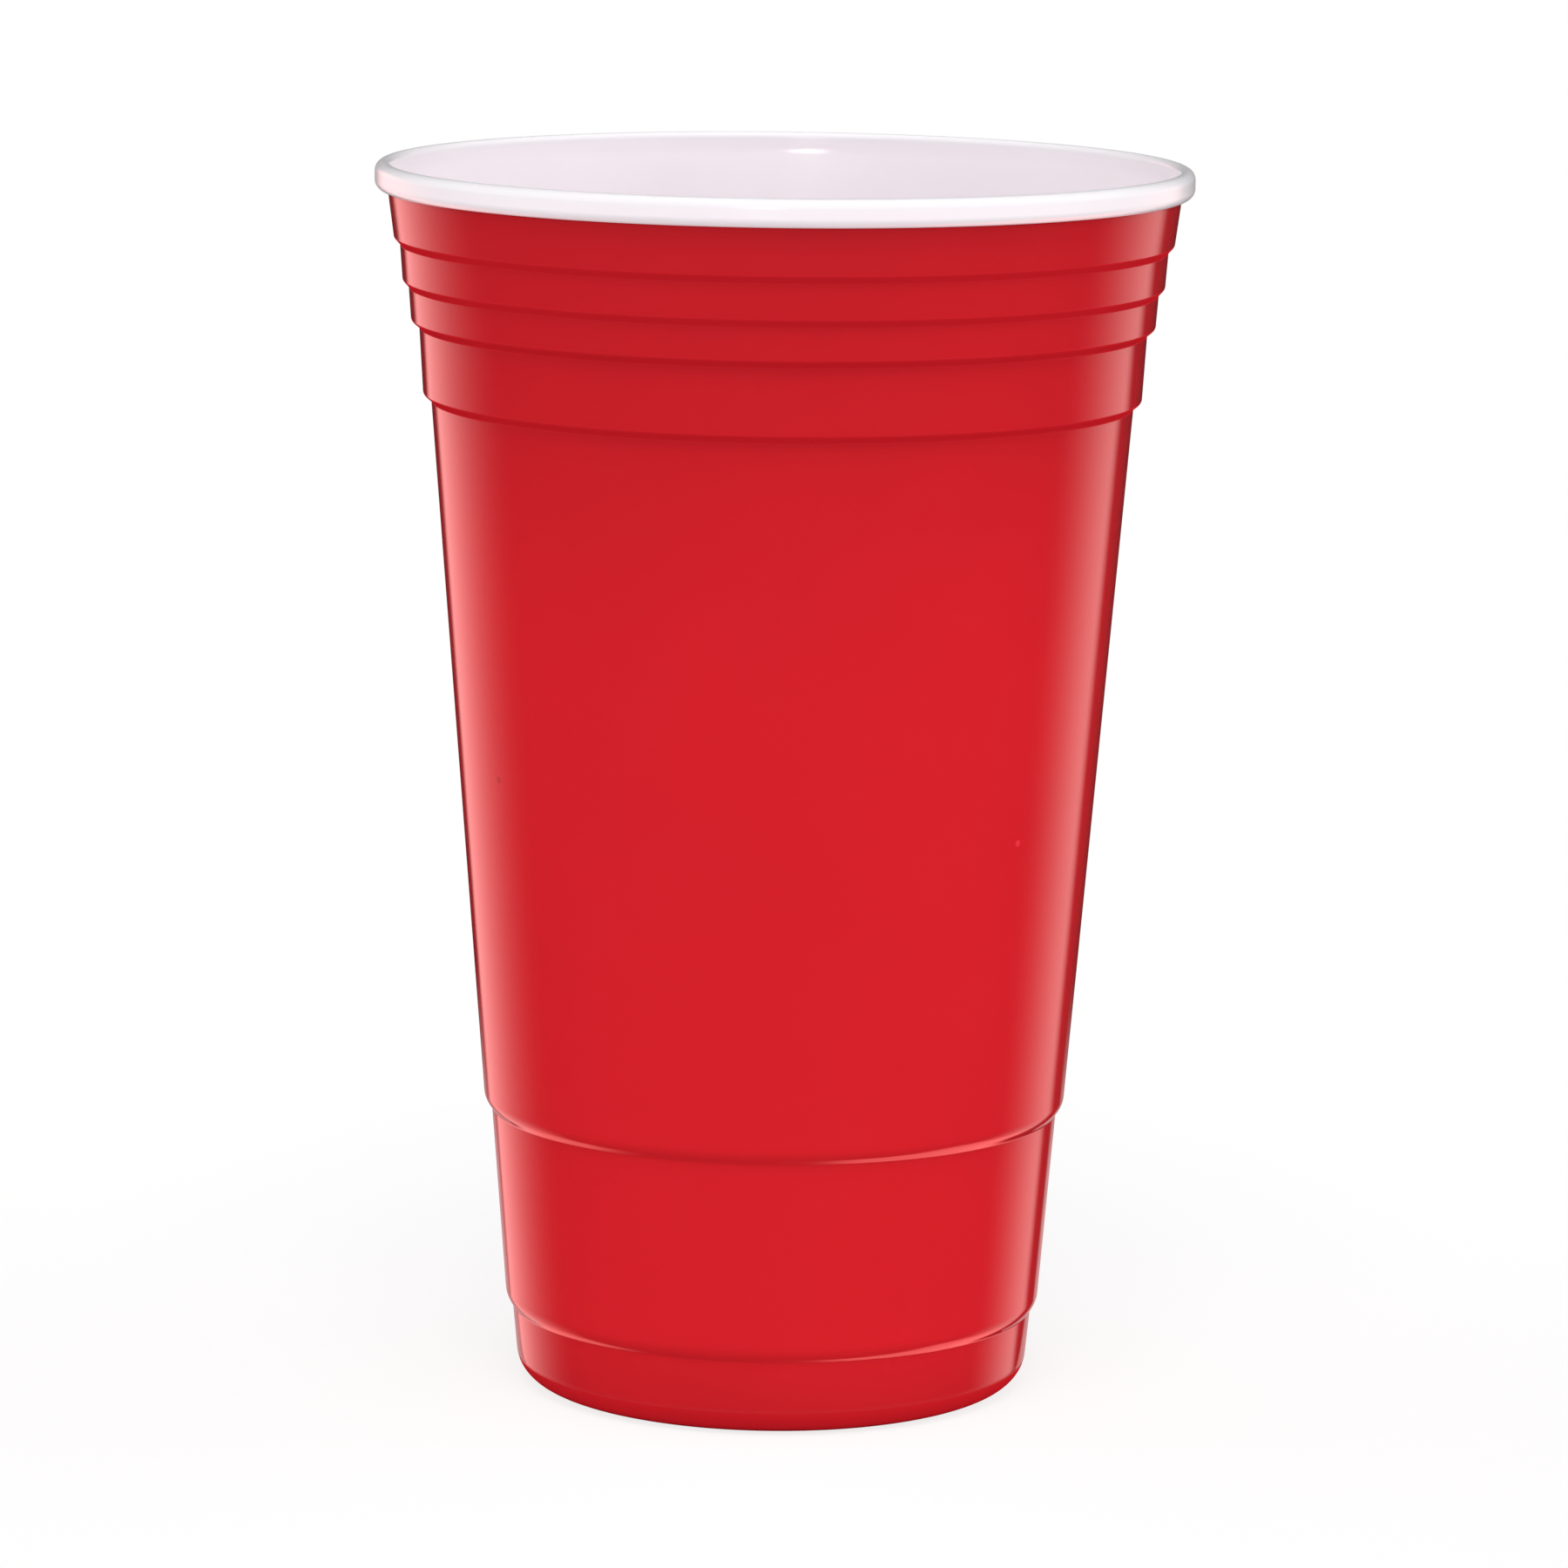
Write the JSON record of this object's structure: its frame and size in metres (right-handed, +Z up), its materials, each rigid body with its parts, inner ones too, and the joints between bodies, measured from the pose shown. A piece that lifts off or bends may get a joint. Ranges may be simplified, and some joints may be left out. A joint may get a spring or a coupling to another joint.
{
  "type": "stadium cup",
  "caption": "Tapered stadium cup formed in one piece from red plastic sheet, white inside, with a rolled rim, stepped grip bands and a floor raised inside its foot ring.",
  "frame": {"origin": "on the cup's axis, in the plane that its foot ring stands on", "axes": "+Z up along the cup's axis, from the foot to the rim; the cup is round, so X and Y are free"},
  "size_m": [0.1, 0.1, 0.1517],
  "materials": {
    "sheet": "gloss"
  },
  "bodies": {
    "root": {"cup": "sheet"}
  },
  "joints": []
}
